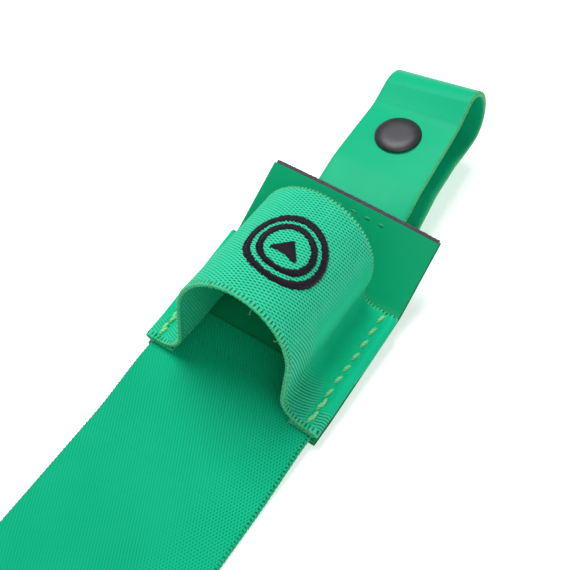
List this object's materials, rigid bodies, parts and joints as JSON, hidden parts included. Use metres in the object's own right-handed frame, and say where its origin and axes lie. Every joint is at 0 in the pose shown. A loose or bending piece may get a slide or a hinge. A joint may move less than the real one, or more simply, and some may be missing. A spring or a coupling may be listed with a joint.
{
  "type": "elastic gear holster",
  "caption": "Belt-hung gear holster: an arched elastic sleeve on a flared coated panel, with an elastic strap below and a belt loop that closes with a press stud.",
  "frame": {"origin": "on the flat back of the panel, on the centre line, 4 mm above its lower edge, where the holster rests on a table", "axes": "+Y along the strap towards the belt loop, +X to the right seen from the front, +Z out of the panel through the sleeve's crest"},
  "size_m": [0.0536, 0.2114, 0.0402],
  "materials": {
    "elastic": "ribbed woven elastic webbing, mint green",
    "sleeve_elastic": "open ribbed knitted elastic with looped selvedges, mint green",
    "loop_vinyl": "satin coated webbing, bright green",
    "panel_vinyl": "satin coated cloth, deeper green",
    "panel_core": "dark grey stiffener with a cut edge",
    "thread": "pale green sewing thread",
    "emblem_thread": "near-black embroidery thread",
    "snap_metal": "gunmetal black, semi-gloss",
    "spring_wire": "plain wire"
  },
  "bodies": {
    "loop_tail": {"loop_tail_ply": "loop_vinyl", "snap_stud": "snap_metal", "snap_post": "snap_metal"},
    "holder": {"panel_backing": "panel_vinyl", "panel_core": "panel_core", "panel_face": "panel_vinyl", "strap_anchor": "elastic", "strap_cross_seam": "thread", "sleeve": "sleeve_elastic", "side_seam_left": "thread", "side_seam_right": "thread", "emblem_outer_ring": "emblem_thread", "emblem_inner_ring": "emblem_thread", "emblem_peak": "emblem_thread", "loop_front_ply": "loop_vinyl", "loop_seam_upper": "thread", "loop_bobbin_upper": "thread", "loop_seam_lower": "thread", "loop_bobbin_lower": "thread", "snap_cap": "snap_metal", "snap_socket": "snap_metal", "snap_spring": "spring_wire"},
    "strap": {"strap_mid": "elastic"},
    "strap_tip": {"strap_end": "elastic", "hem_seam_outer": "thread", "hem_seam_inner": "thread"}
  },
  "joints": [
    {"name": "loop_open", "type": "hinge", "parent": "loop_tail", "child": "holder", "pos_m": [-0.0002, 0.1073, 0.0171], "axis": [-0.991, 0, -0.134], "range_deg": [0, 100]},
    {"name": "strap_fold", "type": "hinge", "parent": "holder", "child": "strap", "pos_m": [0, -0.0054, 0.003], "axis": [-1, 0, 0], "range_deg": [0, 90]},
    {"name": "strap_tip_fold", "type": "hinge", "parent": "strap", "child": "strap_tip", "pos_m": [0, -0.0544, 0.00065], "axis": [-1, 0, 0], "range_deg": [0, 90]}
  ]
}
